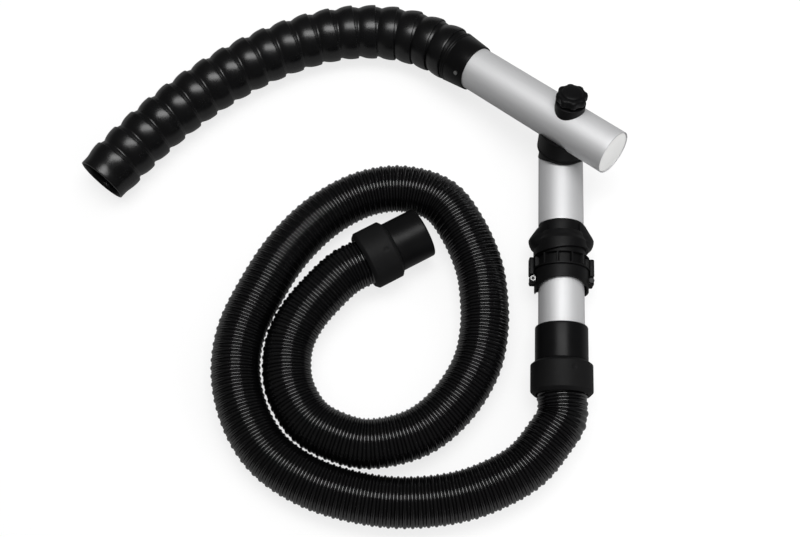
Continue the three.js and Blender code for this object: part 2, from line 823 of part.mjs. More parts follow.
// Upper tube with its saddle, plug, knob and neck cuff
const swing = new THREE.Group();
swing.position.y = tubeRise;
swing.rotation.y = -radians(armSwing);
swivel.add(swing);
const upper = new THREE.Group();
upper.rotation.z = Math.PI / 2;
swing.add(upper);
place(upper, "saddle", saddle(), mattBlack);
place(upper, "upper_tube", upperTube(), aluminium);
place(upper, "end_plug", endPlug(), paleNylon);
place(upper, "knob_seat", knobSeat(), mattBlack);
const knobWasher = tube(knobWasherRadius, boltRadius + gap, 0, knobWasherThick, 16);
place(upper, "knob_washer", alongX(knobWasher.translate(0, seatTop + gap, 0)), steel);
place(upper, "clamp_knob", clampKnob(), mattBlack);
place(upper, "clamp_bolt", clampBolt(), steel);
place(upper, "neck_cuff", neckCuff(), mattBlack);
place(upper, "neck_cuff_screw", cuffScrew(), steel);

// Neck, each link carried by the one before
let link = new THREE.Group();
link.position.y = neckStart;
link.rotation.y = radians(neckRoll);
upper.add(link);
for (let i = 0; i < neckLinks; i++) {
  const next = new THREE.Group();
  next.position.y = i === 0 ? 0 : neckPitch;
  next.rotation.set(radians(neckBends[i]), 0, i < neckLifted ? radians(neckLift) : 0, "ZYX");
  link.add(next);
  const last = i === neckLinks - 1;
  const name = last ? "neck_mouth" : "neck_ring_" + String(i + 1).padStart(2, "0");
  place(next, name, last ? neckMouth() : neckRing(), glossBlack);
  link = next;
}

// Hose and its far cuff
const cords = new THREE.Group();
arm.add(cords);
const route = hoseRoute();
place(cords, "suction_hose", hose(route), hoseBlack);
const endCuff = new THREE.Group();
const endTurn = radians(endCuffHeading);
const cuffReach = cuffSleeveLength + cuffNutLength;
endCuff.position.set(
  endCuffSpot.x + cuffReach * Math.cos(endTurn),
  endCuffSpot.y + cuffReach * Math.sin(endTurn),
  axisHeight,
);
endCuff.rotation.z = endTurn - Math.PI / 2;
cords.add(endCuff);
addCuff(endCuff, "end_cuff_sleeve", "end_cuff_nut");
console.log("hose length", route.getLength().toFixed(1), "least gap to itself", leastGap(route).toFixed(2));

// The origin is under the middle of the arm without its hose, on the bench.
arm.remove(cords);
arm.updateMatrixWorld(true);
const box = new THREE.Box3().setFromObject(arm, true);
const middle = box.getCenter(new THREE.Vector3());
arm.add(cords);
arm.position.set(-middle.x, -middle.y, 0);
const object = new THREE.Group();
object.add(arm);

export default object;
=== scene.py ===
import bpy
import numpy as np
from mathutils import Matrix


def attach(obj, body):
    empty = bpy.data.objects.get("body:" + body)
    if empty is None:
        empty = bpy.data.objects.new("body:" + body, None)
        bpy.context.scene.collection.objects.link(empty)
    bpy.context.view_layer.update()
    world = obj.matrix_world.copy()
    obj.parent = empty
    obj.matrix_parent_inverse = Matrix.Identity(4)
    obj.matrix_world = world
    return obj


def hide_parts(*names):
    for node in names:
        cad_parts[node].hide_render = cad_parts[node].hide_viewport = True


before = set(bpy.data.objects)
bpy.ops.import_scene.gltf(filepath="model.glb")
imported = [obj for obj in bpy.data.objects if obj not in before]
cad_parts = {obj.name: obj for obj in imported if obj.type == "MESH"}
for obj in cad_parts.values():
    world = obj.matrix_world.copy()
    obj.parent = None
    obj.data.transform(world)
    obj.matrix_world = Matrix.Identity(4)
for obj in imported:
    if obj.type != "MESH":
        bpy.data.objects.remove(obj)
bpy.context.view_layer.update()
print("frame loaded:", len(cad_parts), "nodes")

mm = 0.001  # every size below is in millimetres

# Where the groups of pieces sit, as in the solids
layout = {
    "post": (238.8615, -155.6697, 33.3),  # rim of the lower cuff, on the tube's axis
    "elbowAt": 199.6,
    "elbowBend": 70,
    "tubeRise": 53.2,
    "armSwing": 41,
    "neckStart": 173,
    "neckPitch": 24.8,
    "neckBends": (6.7, 8.4, 10, 9.2, 8.3, 7.3, 6.2, 5.1, 4, 3.8, 3.5, 3.3, 3.1, 2.8, 2.7, 2.5, 2.3, 2.2, 2),
    "neckRoll": -18.8,
    "neckLift": -2.6,  # of each of the first links, until the neck is level
    "neckLifted": 5,
    "endCuffMouth": (-216.9, 65.1),
    "endCuffHeading": 31,
    "cuffReach": 75,
}


def turn(axis, degrees):  # rotation matrix about one axis
    return np.array(Matrix.Rotation(np.radians(degrees), 3, axis))


def makePlaces(facts):  # origin and axes of each group, carried from one to the next
    post = np.array(facts["post"])
    elbow = post + np.array([0, facts["elbowAt"], 0])
    swivel = turn("X", facts["elbowBend"])
    upper = swivel @ turn("Y", -facts["armSwing"]) @ turn("Z", 90)
    upperAt = elbow + swivel[:, 1] * facts["tubeRise"]
    heading = np.radians(facts["endCuffHeading"])
    ahead = np.array([np.cos(heading), np.sin(heading)])
    cuffAt = post + np.array([*(np.array(facts["endCuffMouth"]) + facts["cuffReach"] * ahead), 0])
    places = {
        "post": (post, np.eye(3)),
        "elbow": (elbow, np.eye(3)),
        "swivel": (elbow, swivel),
        "upper": (upperAt, upper),
        "endCuff": (cuffAt, turn("Z", facts["endCuffHeading"] - 90)),
        "neck": [],
    }
    axes = upper @ turn("Y", facts["neckRoll"])
    at = upperAt + upper[:, 1] * facts["neckStart"]
    for k, bend in enumerate(facts["neckBends"]):
        lift = facts["neckLift"] if k < facts["neckLifted"] else 0
        axes = axes @ turn("Z", lift) @ turn("X", bend)
        places["neck"].append((at, axes))
        at = at + axes[:, 1] * facts["neckPitch"]
    return places


places = makePlaces(layout)


# Camera at the photograph's angle
cameraFacts = {
    "fromPost": (-159.968, -333.185, 1141.7),
    "down": 71.0,
    "yaw": 2.45,
    "lens": 49.5,
}


def makeCamera(facts):  # axes from the yaw and the angle below the horizon
    yaw, down = np.radians([facts["yaw"], facts["down"]])
    right = np.array([np.cos(yaw), np.sin(yaw), 0])
    level = np.array([-np.sin(yaw), np.cos(yaw), 0])
    ahead = level * np.cos(down) - np.array([0, 0, np.sin(down)])
    up = np.cross(right, ahead)
    data = bpy.data.cameras.new("photoCamera")
    data.sensor_width = 36
    data.lens = facts["lens"]
    data.clip_end = 50
    cam = bpy.data.objects.new("photoCamera", data)
    matrix = np.eye(4)
    matrix[:3, 0], matrix[:3, 1], matrix[:3, 2] = right, up, -ahead
    matrix[:3, 3] = (places["post"][0] + np.array(facts["fromPost"])) * mm
    cam.matrix_world = Matrix(matrix.tolist())
    bpy.context.scene.collection.objects.link(cam)
    bpy.context.scene.camera = cam
    return cam


camera = makeCamera(cameraFacts)
print("camera set")


# Materials: one function for each finish
def newMaterial(name):
    made = bpy.data.materials.new(name)
    made.use_nodes = True
    tree = made.node_tree
    return made, tree, tree.nodes["Principled BSDF"]


def addNode(tree, kind, **values):
    node = tree.nodes.new(kind)
    for key, value in values.items():
        if key in node.inputs:
            node.inputs[key].default_value = value
        else:
            setattr(node, key, value)
    return node


def noiseFrom(tree, source, scale, detail, stretch=(1, 1, 1)):  # noise on stretched coordinates
    coords = addNode(tree, "ShaderNodeTexCoord")
    mapping = addNode(tree, "ShaderNodeMapping", Scale=stretch)
    noise = addNode(tree, "ShaderNodeTexNoise", Scale=scale, Detail=detail, Roughness=0.6)
    tree.links.new(coords.outputs[source], mapping.inputs["Vector"])
    tree.links.new(mapping.outputs["Vector"], noise.inputs["Vector"])
    return noise.outputs["Fac"]


def spread(tree, fac, low, high):  # a noise value carried into a range
    node = addNode(tree, "ShaderNodeMapRange")
    node.inputs["From Min"].default_value = 0.3
    node.inputs["From Max"].default_value = 0.7
    node.inputs["To Min"].default_value = low
    node.inputs["To Max"].default_value = high
    tree.links.new(fac, node.inputs["Value"])
    return node.outputs["Result"]


def tint(tree, fac, dark, light):  # a noise value carried into two close colours
    node = addNode(tree, "ShaderNodeMix", data_type="RGBA")
    colours = [socket for socket in node.inputs if socket.type == "RGBA"]
    colours[0].default_value = (*dark, 1)
    colours[1].default_value = (*light, 1)
    tree.links.new(fac, node.inputs[0])
    return [socket for socket in node.outputs if socket.type == "RGBA"][0]


def relief(tree, fac, shader, strength, depth):
    bump = addNode(tree, "ShaderNodeBump", Strength=strength, Distance=depth)
    tree.links.new(fac, bump.inputs["Height"])
    tree.links.new(bump.outputs["Normal"], shader.inputs["Normal"])


finishes = {
    "glossBlack": {"dark": (0.0015, 0.0015, 0.0017), "light": (0.0032, 0.0032, 0.0034), "shine": 0.55,
                   "rough": (0.25, 0.32), "grain": 900, "bump": 0.05, "depth": 0.0002},
    "cuffBlack": {"dark": (0.003, 0.003, 0.0032), "light": (0.005, 0.005, 0.0052), "shine": 0.15,
                  "rough": (0.28, 0.38), "grain": 1100, "bump": 0.06, "depth": 0.0002},
    "mattBlack": {"dark": (0.0025, 0.0025, 0.0027), "light": (0.005, 0.005, 0.0052), "shine": 0.18,
                  "rough": (0.4, 0.54), "grain": 1600, "bump": 0.2, "depth": 0.0003},
    "nutBlack": {"dark": (0.005, 0.005, 0.0052), "light": (0.008, 0.008, 0.0082), "shine": 0.13,
                 "rough": (0.5, 0.62), "grain": 1900, "bump": 0.3, "depth": 0.0003},
    "hoseBlack": {"dark": (0.0012, 0.0012, 0.0014), "light": (0.003, 0.003, 0.0032), "shine": 0.9,
                  "rough": (0.15, 0.23), "grain": 700, "bump": 0.08, "depth": 0.0003},
    "rubber": {"dark": (0.008, 0.008, 0.008), "light": (0.013, 0.013, 0.013), "shine": 0.2,
               "rough": (0.7, 0.85), "grain": 1400, "bump": 0.2, "depth": 0.0003},
    "paleNylon": {"dark": (0.92, 0.92, 0.91), "light": (0.96, 0.96, 0.95), "shine": 0.4,
                  "rough": (0.4, 0.55), "grain": 900, "bump": 0.1, "depth": 0.0002},
}


def plastic(name, facts):  # moulded plastic: faint clouding, uneven gloss and a fine grain
    made, tree, shader = newMaterial(name)
    cloud = noiseFrom(tree, "Object", 38, 3)
    grain = noiseFrom(tree, "Object", facts["grain"], 2)
    tree.links.new(tint(tree, cloud, facts["dark"], facts["light"]), shader.inputs["Base Color"])
    tree.links.new(spread(tree, cloud, *facts["rough"]), shader.inputs["Roughness"])
    relief(tree, grain, shader, facts["bump"], facts["depth"])
    shader.inputs["IOR"].default_value = 1.5
    shader.inputs["Specular IOR Level"].default_value = facts["shine"]
    return made


metals = {
    "satinAluminium": {"dark": (0.79, 0.792, 0.8), "light": (0.84, 0.842, 0.848),
                       "rough": (0.6, 0.67), "stretch": (900, 12, 1), "bump": 0.04, "metallic": 0.7},
    "zincSteel": {"dark": (0.36, 0.36, 0.355), "light": (0.46, 0.46, 0.455),
                  "rough": (0.36, 0.48), "stretch": (300, 300, 300), "bump": 0.04, "metallic": 1},
    "darkSteel": {"dark": (0.03, 0.03, 0.031), "light": (0.05, 0.05, 0.051),
                  "rough": (0.38, 0.5), "stretch": (300, 300, 300), "bump": 0.04, "metallic": 1},
}


def metal(name, facts, source):  # metal with fine drawn streaks, or an even grain
    made, tree, shader = newMaterial(name)
    streak = noiseFrom(tree, source, 1, 3, facts["stretch"])
    tree.links.new(tint(tree, streak, facts["dark"], facts["light"]), shader.inputs["Base Color"])
    tree.links.new(spread(tree, streak, *facts["rough"]), shader.inputs["Roughness"])
    relief(tree, streak, shader, facts["bump"], 0.0002)
    shader.inputs["Metallic"].default_value = facts["metallic"]
    return made


paint = {name: plastic(name, facts) for name, facts in finishes.items()}
paint["satinAluminium"] = metal("satinAluminium", metals["satinAluminium"], "UV")
paint["zincSteel"] = metal("zincSteel", metals["zincSteel"], "Object")
paint["darkSteel"] = metal("darkSteel", metals["darkSteel"], "Object")
print("materials made")


# Surfaces
def rounded(corners, steps=5):  # closed outline of (radius, height, fillet): an arc at each corner
    spots = np.array([corner[:2] for corner in corners], float)
    out = []
    for k, (spot, fillet) in enumerate(zip(spots, [corner[2] for corner in corners])):
        back = spots[k - 1] - spot
        ahead = spots[(k + 1) % len(spots)] - spot
        back, ahead = back / np.linalg.norm(back), ahead / np.linalg.norm(ahead)
        half = np.arccos(np.clip(back @ ahead, -1, 1)) / 2
        if fillet == 0 or half > 1.55:
            out.append(spot[None])
            continue
        middle = spot + (back + ahead) / np.linalg.norm(back + ahead) * fillet / np.sin(half)
        first = (spot + back * fillet / np.tan(half) - middle) / fillet
        last = (spot + ahead * fillet / np.tan(half) - middle) / fillet
        sweep = np.arccos(np.clip(first @ last, -1, 1))
        share = np.linspace(0, 1, steps + 1)[:, None]
        arc = np.sin((1 - share) * sweep) * first + np.sin(share * sweep) * last
        out.append(middle + fillet * arc / np.sin(sweep))
    return np.vstack(out)


def fine(outline, step):  # the same closed outline with no edge longer than step
    following = np.roll(outline, -1, axis=0)
    counts = np.maximum(np.ceil(np.linalg.norm(following - outline, axis=1) / step), 1).astype(int)
    shares = [np.arange(count)[:, None] / count for count in counts]
    return np.vstack([a + (b - a) * share for a, b, share in zip(outline, following, shares)])


def revolve(outline, sides):  # radius and height on a grid of turns about Y
    angle = np.arange(sides) * 2 * np.pi / sides
    radius = np.repeat(outline[:, :1], sides, axis=1)
    height = np.repeat(outline[:, 1:], sides, axis=1)
    return radius, height, np.broadcast_to(angle, radius.shape)


def around(radius, height, angle):  # grid points from radius, height and turn about Y
    return np.stack([radius * np.sin(angle), height, radius * np.cos(angle)], axis=-1)


def turned(corners, sides, step=4.0):
    return around(*revolve(fine(rounded(corners), step), sides))


def ease(value, low, high):  # smooth step from 0 at low to 1 at high
    share = np.clip((value - low) / (high - low), 0, 1)
    return share * share * (3 - 2 * share)


def roundedBox(middle, size, radius, sides=24):  # a ball's points pushed out to a box's corners
    lift = np.linspace(-np.pi / 2, np.pi / 2, sides + 1)[1:-1, None]
    angle = (np.arange(2 * sides) + 0.5)[None] * np.pi / sides
    ball = np.stack([np.cos(lift) * np.sin(angle), np.sin(lift) + 0 * angle, np.cos(lift) * np.cos(angle)], -1)
    return np.array(middle) + np.sign(ball) * (np.array(size) / 2 - radius) + radius * ball


def plate(outline, low, high, soft, steps=4):  # outline carried along Z, drawn in at both ends
    share = np.linspace(0, np.pi / 2, steps + 1)
    inset = np.concatenate([1 - np.sin(share), (1 - np.sin(share))[::-1]]) * soft
    level = np.concatenate([low + soft * (1 - np.cos(share)), high - soft * (1 - np.cos(share))[::-1]])
    middle = outline.mean(axis=0)
    arm = outline - middle
    reach = np.linalg.norm(arm, axis=1, keepdims=True)
    flat = middle + arm[None] * (1 - inset[:, None, None] / reach[None])
    return np.concatenate([flat, np.broadcast_to(level[:, None, None], flat.shape[:2] + (1,))], axis=-1)


def gridFaces(rows, cols, wrap, first):  # quads of a grid whose columns close on themselves
    i = np.arange(rows if wrap else rows - 1)[:, None]
    j = np.arange(cols)[None]
    here, there = i * cols, (i + 1) % rows * cols
    side = (j + 1) % cols
    return np.stack([here + j, here + side, there + side, there + j], -1).reshape(-1, 4) + first


def volumeSign(points, faces):
    a, b, c, d = (points[faces[:, k]] for k in range(4))
    return np.sign(np.sum(a * np.cross(b, c)) + np.sum(a * np.cross(c, d)))


def skin(name, grids, place, material, body, nodes, sharp=38):
    # each grid is (points, wrap): a closed ring of rows, or an open one with a cap at each end
    points, faces, uvs, caps, first = [], [], [], [], 0
    for grid, wrap in grids:
        rows, cols = grid.shape[:2]
        spot = (place[0] + grid.reshape(-1, 3) @ place[1].T) * mm
        quads = gridFaces(rows, cols, wrap, first)
        local = quads - first
        sign = volumeSign(spot - spot.mean(axis=0), local)
        along = np.concatenate([[0], np.cumsum(np.linalg.norm(np.diff(grid, axis=0), axis=2).mean(1))]) * mm
        along = np.append(along, along[-1] + along[1])
        row, col = local // cols, local % cols
        row[:, 2:] = row[:, :1] + 1
        col[:, 1:3] = col[:, :1] + 1
        girth = 2 * np.pi * np.abs(grid[..., [0, 2]]).max() * mm
        uv = np.stack([col / cols * girth, along[row]], -1)
        ends = [] if wrap else [np.arange(cols)[::-1] + first, np.arange(cols) + first + (rows - 1) * cols]
        if sign < 0:
            quads, uv = quads[:, ::-1], uv[:, ::-1]
            ends = [end[::-1] for end in ends]
        points.append(spot)
        faces.append(quads)
        uvs.append(uv.reshape(-1, 2))
        caps += [end.tolist() for end in ends]
        first += rows * cols
    mesh = bpy.data.meshes.new(name)
    mesh.from_pydata(np.vstack(points).tolist(), [], np.vstack(faces).tolist() + caps)
    layer = mesh.uv_layers.new(name="surface")
    flat = np.zeros((len(layer.data), 2))
    flat[: sum(len(uv) for uv in uvs)] = np.vstack(uvs)
    layer.data.foreach_set("uv", flat.ravel())
    mesh.polygons.foreach_set("use_smooth", np.ones(len(mesh.polygons), bool))
    mesh.set_sharp_from_angle(angle=np.radians(sharp))
    mesh.materials.append(paint[material])
    mesh.update()
    piece = bpy.data.objects.new(name, mesh)
    bpy.context.scene.collection.objects.link(piece)
    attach(piece, body)
    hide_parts(*nodes)
    return piece


# Suction hose
hose = {
    "radius": 26.8,
    "valley": 24.7,
    "bore": 21.0,
    "ribs": 404,
    "rowsPerRib": 6,
    "tallShare": 7 / 12,
    "lowRib": 0.55,
    "sides": 42,
    "inNut": 45.3,
    "straight": 53,
    "run": [
        (-11.2, -117.4, 32.6), (-35.6, -148.5, 30), (-70.7, -170.7, 27.6), (-109.6, -185.2, 26.8),
        (-165.2, -192.6, 26.8), (-215, -188.4, 26.8), (-262.6, -175, 26.8), (-304.1, -149.9, 26.8),
        (-331, -114.6, 26.8), (-346.9, -67.4, 26.8), (-345.9, -19.7, 26.8), (-326.3, 33.3, 26.8),
        (-299.9, 81.5, 26.8), (-261.9, 123.7, 26.8), (-217.8, 150.3, 26.8), (-174.5, 157, 26.8),
        (-134.8, 144.7, 26.8), (-109.9, 113.3, 26.8), (-89.8, 67.8, 26.8), (-83.9, 33.4, 26.8),
        (-82.6, -0.9, 26.8), (-89.9, -43.4, 26.8), (-115.4, -88.4, 26.8), (-150.7, -119.3, 26.8),
        (-202.5, -133.5, 26.8), (-234.4, -127.8, 26.8), (-265.6, -111.9, 26.8), (-287.2, -80.9, 26.8),
        (-293.3, -56, 26.8), (-291.8, -26.2, 27.5), (-279.6, 2.4, 29.5), (-260.9, 27.5, 31.8),
    ],
}


def smoothLine(spots, count):  # centripetal spline through the points, at equal steps of length
    spots = np.vstack([2 * spots[0] - spots[1], spots, 2 * spots[-1] - spots[-2]])
    p0, p1, p2, p3 = spots[:-3], spots[1:-2], spots[2:-1], spots[3:]
    d0, d1, d2 = (np.sqrt(np.linalg.norm(b - a, axis=1))[:, None] for a, b in ((p0, p1), (p1, p2), (p2, p3)))
    t1 = ((p1 - p0) / d0 - (p2 - p0) / (d0 + d1) + (p2 - p1) / d1) * d1
    t2 = ((p2 - p1) / d1 - (p3 - p1) / (d1 + d2) + (p3 - p2) / d2) * d1
    t = (np.arange(80) / 80)[None, :, None]
    p1, p2, t1, t2 = (part[:, None] for part in (p1, p2, t1, t2))
    curve = p1 + t1 * t + (3 * (p2 - p1) - 2 * t1 - t2) * t**2 + (2 * (p1 - p2) + t1 + t2) * t**3
    curve = np.vstack([curve.reshape(-1, 3), spots[-2:-1]])
    length = np.concatenate([[0], np.cumsum(np.linalg.norm(np.diff(curve, axis=0), axis=1))])
    even = np.linspace(0, length[-1], count)
    return np.stack([np.interp(even, length, curve[:, k]) for k in range(3)], 1), length[-1]


def hoseRoute(facts):
    post = np.array(layout["post"])
    cuffAt, cuffAxes = places["endCuff"]
    shares = np.array([0, 0.5, 1])[:, None]
    start = post + np.array([0, -1, 0]) * (facts["inNut"] + shares * facts["straight"])
    run = np.array(facts["run"], float) + np.array([post[0], post[1], 0])
    end = cuffAt - cuffAxes[:, 1] * (facts["inNut"] + shares[::-1] * facts["straight"])
    return np.vstack([start, run, end])


def makeHose(facts):  # half waves, a tall and wide rib by turns with a low and narrow one, and a plain bore
    rows = facts["ribs"] * facts["rowsPerRib"] + 1
    line, length = smoothLine(hoseRoute(facts), rows)
    pair = np.arange(rows) / facts["rowsPerRib"] / 2 % 1
    tall = facts["tallShare"]
    high = np.sin(np.pi * np.clip(pair / tall, 0, 1)) ** 0.8
    low = np.sin(np.pi * np.clip((pair - tall) / (1 - tall), 0, 1)) ** 0.8
    rib = np.maximum(high, facts["lowRib"] * low)
    outer = facts["valley"] + (facts["radius"] - facts["valley"]) * rib
    inside = np.linspace(rows - 1, 0, 161).round().astype(int)
    order = np.concatenate([np.arange(rows), inside])
    radius = np.concatenate([outer, np.full(len(inside), facts["bore"])])[:, None, None]
    along = np.gradient(line, axis=0)
    along /= np.linalg.norm(along, axis=1, keepdims=True)
    side = np.cross([0, 0, 1], along)
    side /= np.linalg.norm(side, axis=1, keepdims=True)
    up = np.cross(along, side)
    angle = (np.arange(facts["sides"]) * 2 * np.pi / facts["sides"])[None, :, None]
    grid = line[order][:, None] + radius * (side[order][:, None] * np.cos(angle) + up[order][:, None] * np.sin(angle))
    piece = skin("suctionHose", [(grid, True)], (np.zeros(3), np.eye(3)), "hoseBlack", "post",
                 ["suction_hose"], sharp=80)
    print("hose length", round(length, 1))
    return piece, line[:: facts["rowsPerRib"]] * mm, length * mm


hosePiece, hosePath, hoseLength = makeHose(hose)


# Hose cuffs: the nut on the hose and the glossy sleeve that takes a tube
cuff = {
    "nut": [(27.5, -75, 0.5), (29.8, -75, 0.9), (33.3, -71.5, 1.6), (33.3, -42.8, 1.6), (28.9, -39.3, 0.5),
            (24.3, -39.3, 0.3), (24.3, -44, 0.3), (27.2, -44, 0.3), (27.2, -73, 0.6)],
    "sleeve": [(24, -44, 0.3), (24, -39, 0.2), (28.5, -39, 0.5), (28.5, 0, 2.2), (25.3, 0, 0.4),
               (25.3, -34.3, 0.3), (21, -34.3, 0.3), (21, -44, 0.3)],
    "dimpleTurn": 15.5,
    "dimpleAt": -51,
    "dimpleRadius": 2.3,
    "dimpleDepth": 0.6,
}


def makeCuff(facts, prefix, place, nutNode, sleeveNode):
    radius, height, angle = revolve(fine(rounded(facts["nut"]), 0.9), 240)
    offset = (angle - np.radians(facts["dimpleTurn"]) + np.pi) % (2 * np.pi) - np.pi
    away = np.hypot(radius * offset, height - facts["dimpleAt"])
    outside = radius > 29
    dent = 1 - ease(away, facts["dimpleRadius"] - 0.8, facts["dimpleRadius"] + 0.8)
    radius = radius - outside * dent * facts["dimpleDepth"]
    nut = skin(prefix + "Nut", [(around(radius, height, angle), True)], place, "nutBlack", "post",
               [nutNode])
    sleeve = skin(prefix + "Sleeve", [(turned(facts["sleeve"], 128), True)], place, "cuffBlack", "post",
                  [sleeveNode])
    return nut, sleeve


lowerCuff = makeCuff(cuff, "cuff", places["post"], "cuff_nut", "cuff_sleeve")
endCuff = makeCuff(cuff, "endCuff", places["endCuff"], "end_cuff_nut", "end_cuff_sleeve")
print("hose and cuffs made")


# Aluminium tubes
tube = {
    "radius": 25,
    "bore": 23.8,
    "edge": 0.25,
    "sides": 128,
    "lower": (-34, 71),
    "mastFoot": -82.7,
    "upper": (-63, 152),
    "mitre": 35,
    "gap": 0.15,
}


def tubeOutline(facts, low, high):
    r, b, e = facts["radius"], facts["bore"], facts["edge"]
    return [(r, low, e), (r, high, e), (b, high, e), (b, low, e)]


def makeMast(facts):  # a tube whose top is drawn to the mitre plane, height = -depth * tan(half bend)
    corners = tubeOutline(facts, 0, 100)
    radius, share, angle = revolve(fine(rounded(corners), 6), facts["sides"])
    top = -radius * np.cos(angle) * np.tan(np.radians(facts["mitre"])) - facts["gap"]
    height = facts["mastFoot"] + share / 100 * (top - facts["mastFoot"])
    return skin("mastTube", [(around(radius, height, angle), True)], places["elbow"], "satinAluminium",
                "mast", ["mast_tube"])


def makeTubes(facts):
    lower = turned(tubeOutline(facts, *facts["lower"]), facts["sides"], 6)
    skin("lowerTube", [(lower, True)], places["post"], "satinAluminium", "post", ["lower_tube"])
    upper = turned(tubeOutline(facts, *facts["upper"]), facts["sides"], 6)
    skin("upperTube", [(upper, True)], places["upper"], "satinAluminium", "upper_arm", ["upper_tube"])
    makeMast(facts)


makeTubes(tube)
print("tubes made")


# Twist coupling: body with windows, split clamp, lock collar and ferrule
coupling = {
    "body": [(27, 49.5, 0.4), (27, 63.3, 0.2), (30.9, 63.3, 0.6), (30.9, 77.3, 0.8), (27, 77.3, 0.4),
             (27, 89.3, 0.6), (24, 89.3, 0.4), (24, 71.3, 0.3), (25.3, 71.3, 0.3), (25.3, 49.5, 0.4)],
    "window": (65.4, 77),
    "windowDepth": 4.3,
    "bars": 12,
    "barWidth": 2.2,
    "boss": {"middle": (32.8, 67.05, 0), "size": (5.4, 20.5, 12), "soft": 1.6},
    "clamp": [(29.6, 0, 0.9), (29.6, 24, 1.0), (27.3, 24, 0.3), (27.3, 0, 0.3)],
    "clampStart": 39,
    "archDepth": 10,
    "split": 0.6,
    "lug": {"middle": (31.3, 51.5, 3.8), "size": (7, 9, 6.4), "soft": 1.3},
    "collar": [(27.4, 77.6, 0.4), (30.4, 77.6, 0.7), (30.4, 94.2, 2.6), (28.6, 98.2, 1.2), (27.6, 102, 0.6),
               (26.6, 104.6, 0.8), (25.4, 104.6, 0.3), (25.4, 95.4, 0.3), (27.4, 95.4, 0.3)],
    "rampTilt": 7.5,
    "rampLift": 5.0,
    "wing": [(28.6, 85.9), (30.6, 87.4), (33.2, 89.6), (34.9, 93), (35.8, 96.8), (35.9, 99.4), (34.8, 102.2),
             (32.4, 106.2), (29.6, 110.8), (27.4, 114.2), (26.9, 114.6)],
    "wingFoot": [(29.6, 85.9), (29.6, 94), (28, 98.2), (27, 102), (26.3, 104.6), (26.2, 114.6)],
    "wingSpan": 47,
    "wingLean": 0.05,
    "ferrule": [(23.4, 52.3, 0.4), (23.4, 91.9, 0.2), (26.7, 91.9, 0.3), (26.7, 95.1, 0.3), (25, 95.1, 0.2),
                (25, 116.6, 0.5), (23.5, 116.6, 0.2), (23.5, 136.6, 0.4), (21.6, 136.6, 0.3), (21.6, 52.3, 0.3)],
}


def makeBody(facts):  # the flange's radius drops in the windows, between evenly spaced bars
    radius, height, angle = revolve(fine(rounded(facts["body"]), 0.6), 360)
    step = 2 * np.pi / facts["bars"]
    offset = np.abs((angle - step / 2 + step / 2) % step - step / 2) * 30.5
    between = ease(offset, facts["barWidth"] / 2 - 0.2, facts["barWidth"] / 2 + 0.5)
    low, high = facts["window"]
    inside = ease(height, low, low + 0.5) * (1 - ease(height, high - 0.5, high))
    radius = radius - (radius > 30) * between * inside * facts["windowDepth"]
    boss = facts["boss"]
    bosses = [(roundedBox(np.array(boss["middle"]) * (side, 1, 1), boss["size"], boss["soft"]), False)
              for side in (1, -1)]
    skin("couplingBody", [(around(radius, height, angle), True), *bosses], places["post"], "mattBlack", "post",
         ["coupling_body"])


def makeClamp(facts, name, node, side):  # half a ring whose lower edge is an arch, with a lug at each end
    outline = fine(rounded(facts["clamp"]), 1.5)
    angle = np.linspace(-np.pi / 2, np.pi / 2, 121)[None] + 0 * outline[:, :1]
    radius = outline[:, :1] + 0 * angle
    angle = angle * (1 - facts["split"] / 2 / 29 / (np.pi / 2))
    inner = facts["clamp"][2][0]
    arch = facts["archDepth"] * np.sqrt(np.clip(1 - (radius * np.sin(angle) / inner) ** 2, 0, 1))
    share = outline[:, 1:] / 24
    height = facts["clampStart"] + arch + share * (24 - arch)
    grid = around(radius, height, angle + (0 if side > 0 else np.pi)).transpose(1, 0, 2)
    lug = facts["lug"]
    lugs = [(roundedBox(np.array(lug["middle"]) * (x, 1, side), lug["size"], lug["soft"]), False) for x in (1, -1)]
    skin(name, [(grid, False), *lugs], places["post"], "mattBlack", "post", [node])


def makeWing(facts, side):  # the radius swells by a squared cosine of the turn, and back along the inner side
    reach, foot = np.array(facts["wing"]), np.array(facts["wingFoot"])
    level = np.linspace(reach[0, 1], reach[-1, 1], 60)[:, None]
    low = np.interp(level, foot[:, 1], foot[:, 0])
    high = np.maximum(np.interp(level, reach[:, 1], reach[:, 0]), low)
    share = np.linspace(-1, 1, 49)[None]
    outer = low + 0.1 + (high - low) * np.cos(share * np.pi / 2) ** 2
    inner = low - 0.6 + 0 * share
    radius = np.concatenate([outer, inner[:, ::-1]], axis=1)
    angle = np.concatenate([share, share[:, ::-1]], axis=1) * np.radians(facts["wingSpan"]) + side * np.pi / 2
    height = level + (side - 1) * facts["wingLean"] * np.clip(level - reach[0, 1], 0, 30) + 0 * radius
    return around(radius, height, angle + 0 * radius)


def makeCollar(facts):  # lower rim cut by a tilted plane, two finger wings
    radius, height, angle = revolve(fine(rounded(facts["collar"]), 0.8), 240)
    low = facts["collar"][0][1]
    rim = facts["rampLift"] + radius * np.sin(angle) * np.tan(np.radians(facts["rampTilt"]))
    share = 1 - ease(height, low, low + 14)
    height = height + rim * share
    wings = [(makeWing(facts, side), False) for side in (1, -1)]
    skin("lockCollar", [(around(radius, height, angle), True), *wings], places["post"], "mattBlack", "collar",
         ["lock_collar"])


makeBody(coupling)
makeClamp(coupling, "clampTop", "clamp_half_top", 1)
makeClamp(coupling, "clampBottom", "clamp_half_bottom", -1)
makeCollar(coupling)
skin("mastFerrule", [(turned(coupling["ferrule"], 128), True)], places["post"], "mattBlack", "mast",
     ["mast_ferrule"])
print("coupling made")


